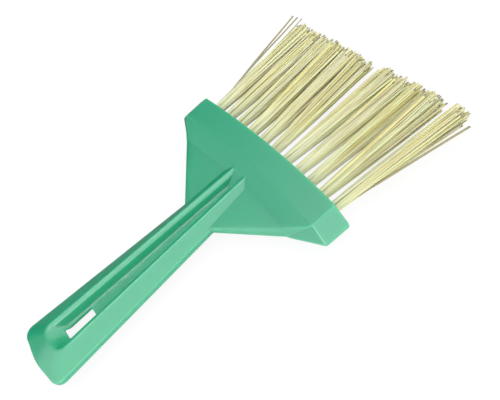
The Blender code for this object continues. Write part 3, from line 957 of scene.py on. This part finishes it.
@dataclass(frozen=True)
class TuftPlace:
    """Where one tuft stands and how its tips lie."""

    name: str
    mouth: Vector
    lean: float
    drift: float
    length: float
    slope: float
    tip_half_width: float
    strays: Strays

    def matrix(self) -> Matrix:
        """Work out the tuft's own frame.

        Returns:
            The frame, with its origin at the mouth of the hole and local Z out of it.
        """
        across = Vector((math.cos(self.lean), -math.sin(self.lean), 0.0))
        down = Vector((0.0, 0.0, -1.0))
        turn = Matrix((across, down, leaning(self.lean))).transposed()
        return Matrix.Translation(self.mouth) @ turn.to_4x4()

    def inputs(self) -> dict[str, float]:
        """List the tree's inputs that differ from tuft to tuft.

        Returns:
            Value of each input by its name.
        """
        return {"tip_drift": self.drift, "length": self.length, "tip_slope": self.slope,
                "tip_half_width": self.tip_half_width, "strays": self.strays.count,
                "stray_reach": self.strays.reach, "stray_extra": self.strays.extra}


@dataclass(frozen=True)
class TuftRow:
    """Tufts along the head, from one that leans left to one that leans right, trimmed in a line."""

    form: FibreForm = FibreForm()
    anchor_to_mouth: float = 0.0090
    lean_step: float = math.radians(0.6)
    line_setback: float = 0.0969
    line_slope: float = 0.055
    last_width: float = 0.72
    left_strays: Strays = Strays(3, -0.0178, 0.0050)
    right_strays: Strays = Strays(2, 0.0178, -0.0070)
    drifts: tuple[float, ...] = (0.0041, 0.0023, 0.0005, -0.0014, -0.0030, -0.0044,
                                 0.0042, 0.0033, 0.0020, 0.0006, 0.0066)
    seed: int = 11

    def places(self) -> list[TuftPlace]:
        """Work out each tuft's place from its anchor in the frame.

        Returns:
            The tufts from left to right.
        """
        made = []
        last = len(self.drifts) - 1
        strays = {0: self.left_strays, last: self.right_strays}
        for index, drift in enumerate(self.drifts):
            number = f"{index + 1:02d}"
            low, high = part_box(f"tuft_anchor_{number}")
            lean = (index - last / 2) * self.lean_step
            mouth = (low + high) / 2 + leaning(lean) * self.anchor_to_mouth
            to_line = self.line_setback + self.line_slope * mouth.x - mouth.y
            length = to_line / (math.cos(lean) - self.line_slope * math.sin(lean))
            slope = math.tan(lean + math.atan(self.line_slope))
            width = self.form.tip_half_width * (self.last_width if index == last else 1.0)
            made.append(TuftPlace(f"tuft_{number}", mouth, lean, drift, length, slope, width,
                                  strays.get(index, Strays())))
        return made

    def grow(self, place: TuftPlace, fibres: FibreTree, finish: bpy.types.Material,
             seed: int) -> bpy.types.Object:
        """Grow one tuft, make it a plain mesh in place and let it stand for its CAD node.

        Args:
            place: Where the tuft stands.
            fibres: The tree that grows a tuft.
            finish: Straw.
            seed: Number that makes this tuft unlike the others.

        Returns:
            The finished tuft.
        """
        maker = put_in_scene("growing", bpy.data.meshes.new("growing"))
        growth = maker.modifiers.new("fibres", "NODES")
        growth.node_group = fibres.tree
        values = {**vars(self.form), **place.inputs(), "seed": seed, "material": finish}
        for name, value in values.items():
            growth[fibres.identifiers[name]] = value
        graph = bpy.context.evaluated_depsgraph_get()
        mesh = bpy.data.meshes.new_from_object(maker.evaluated_get(graph), depsgraph=graph)
        bpy.data.objects.remove(maker)
        mesh.transform(place.matrix())
        tuft = put_in_scene(place.name + "_fibres", mesh)
        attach(tuft, Body.ROOT.value)
        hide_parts(place.name)
        return tuft

    def build(self, finish: bpy.types.Material) -> list[bpy.types.Object]:
        """Grow every tuft.

        Args:
            finish: Straw.

        Returns:
            The finished tufts from left to right.
        """
        fibres = FibreTree()
        return [self.grow(place, fibres, finish, self.seed + index)
                for index, place in enumerate(self.places())]


@dataclass(frozen=True)
class LightCard:
    """A bright rectangular card that shows only in reflections, aimed at the brush."""

    name: str
    place: Triple
    size: Pair
    radiance: float

    def hang(self, target: Vector) -> bpy.types.Object:
        """Put the card in the scene.

        Args:
            target: Point that the card faces.

        Returns:
            The card.
        """
        lamp = bpy.data.lights.new(self.name, "AREA")
        lamp.shape = "RECTANGLE"
        lamp.size, lamp.size_y = self.size
        lamp.energy = self.radiance * math.pi * self.size[0] * self.size[1]
        card = put_in_scene(self.name, lamp)
        card.location = self.place
        card.rotation_euler = (target - Vector(self.place)).to_track_quat("-Z", "Y").to_euler()
        card.visible_diffuse = False
        return card


@dataclass(frozen=True)
class Studio:
    """Camera, light cards, world and floor. None of them is part of the brush."""

    camera_place: Triple = (0.251874, -0.068373, 0.326119)
    camera_turn: Triple = (32.4898, 19.5014, 51.3838)
    lens: float = 46.8
    sensor_width: float = 36.0
    near_clip: float = 0.01
    aim: Triple = (0.0, -0.03, 0.01)
    floor_half_width: float = 2.5
    floor_gap: float = 0.0002
    dome: float = 1.38
    dome_rise: Pair = (-0.76, -0.42)
    window: float = 0.34
    window_rise: Pair = (0.45, 1.0)
    window_on_matt: float = 1.45
    cards: tuple[LightCard, ...] = (
        LightCard("front_card", (0.85, -0.75, 0.45), (0.90, 0.80), 1.50),
        LightCard("strip_card", (-0.02, -0.10, 1.20), (0.05, 0.60), 14.0),
    )

    def set_camera(self) -> None:
        """Create the camera at the photograph's viewpoint."""
        lens = bpy.data.cameras.new("photo_view")
        lens.lens = self.lens
        lens.sensor_width = self.sensor_width
        lens.clip_start = self.near_clip
        camera = put_in_scene("photo_view", lens)
        camera.location = self.camera_place
        camera.rotation_euler = Euler([math.radians(angle) for angle in self.camera_turn])
        bpy.context.scene.camera = camera

    def set_floor(self) -> None:
        """Lay the floor under the brush."""
        half, z = self.floor_half_width, -self.floor_gap
        mesh = bpy.data.meshes.new("floor")
        mesh.from_pydata([(-half, -half, z), (half, -half, z), (half, half, z), (-half, half, z)],
                         [], [(0, 1, 2, 3)])
        floor = put_in_scene("floor", mesh)
        mesh.materials.append(WhiteFloor().material())

    def set_world(self) -> None:
        """Give the world a sky that is dark on the left and brighter on the right.

        The camera sees plain white instead. Matt surfaces get more of the bright window on
        the right than reflections show.
        """
        world = bpy.data.worlds.new("studio")
        world.use_nodes = True
        graph = Graph(world.node_tree)
        background = world.node_tree.nodes["Background"]
        rays = graph.add("ShaderNodeLightPath").outputs
        place = graph.add("ShaderNodeTexCoord").outputs["Generated"]
        across = graph.add("ShaderNodeSeparateXYZ", Vector=place).outputs["X"]
        dome = graph.remap(across, self.dome_rise, (0.0, self.dome), Easing.SMOOTH)
        window = graph.remap(across, self.window_rise, (0.0, self.window), Easing.SMOOTH)
        share = graph.blend(rays["Is Glossy Ray"], self.window_on_matt, 1.0)
        lit = graph.plus(dome, graph.times(window, share))
        graph.fill(background.inputs["Strength"], graph.blend(rays["Is Camera Ray"], lit, 1.0))
        background.inputs["Color"].default_value = WHITE
        bpy.context.scene.world = world

    def set_up(self) -> None:
        """Set the camera, light cards, world and floor."""
        self.set_camera()
        self.set_floor()
        self.set_world()
        for card in self.cards:
            card.hang(Vector(self.aim))
        bpy.context.scene.view_settings.view_transform = "Standard"


def main() -> None:
    """Dress the body and the anchors, grow the tufts and set up the studio."""
    logging.basicConfig(level=logging.INFO, format="%(message)s")
    body = MouldedBody().dress(GreenPlastic().material())
    LOG.info("%s dressed", body.name)
    for strip in AnchorStrips().dress(ZincSteel().material()):
        LOG.info("%s dressed", strip.name)
    for tuft in TuftRow().build(StrawFibre().material()):
        LOG.info("%s: %d faces", tuft.name, len(tuft.data.polygons))
    Studio().set_up()


if __name__ == "__main__":
    main()
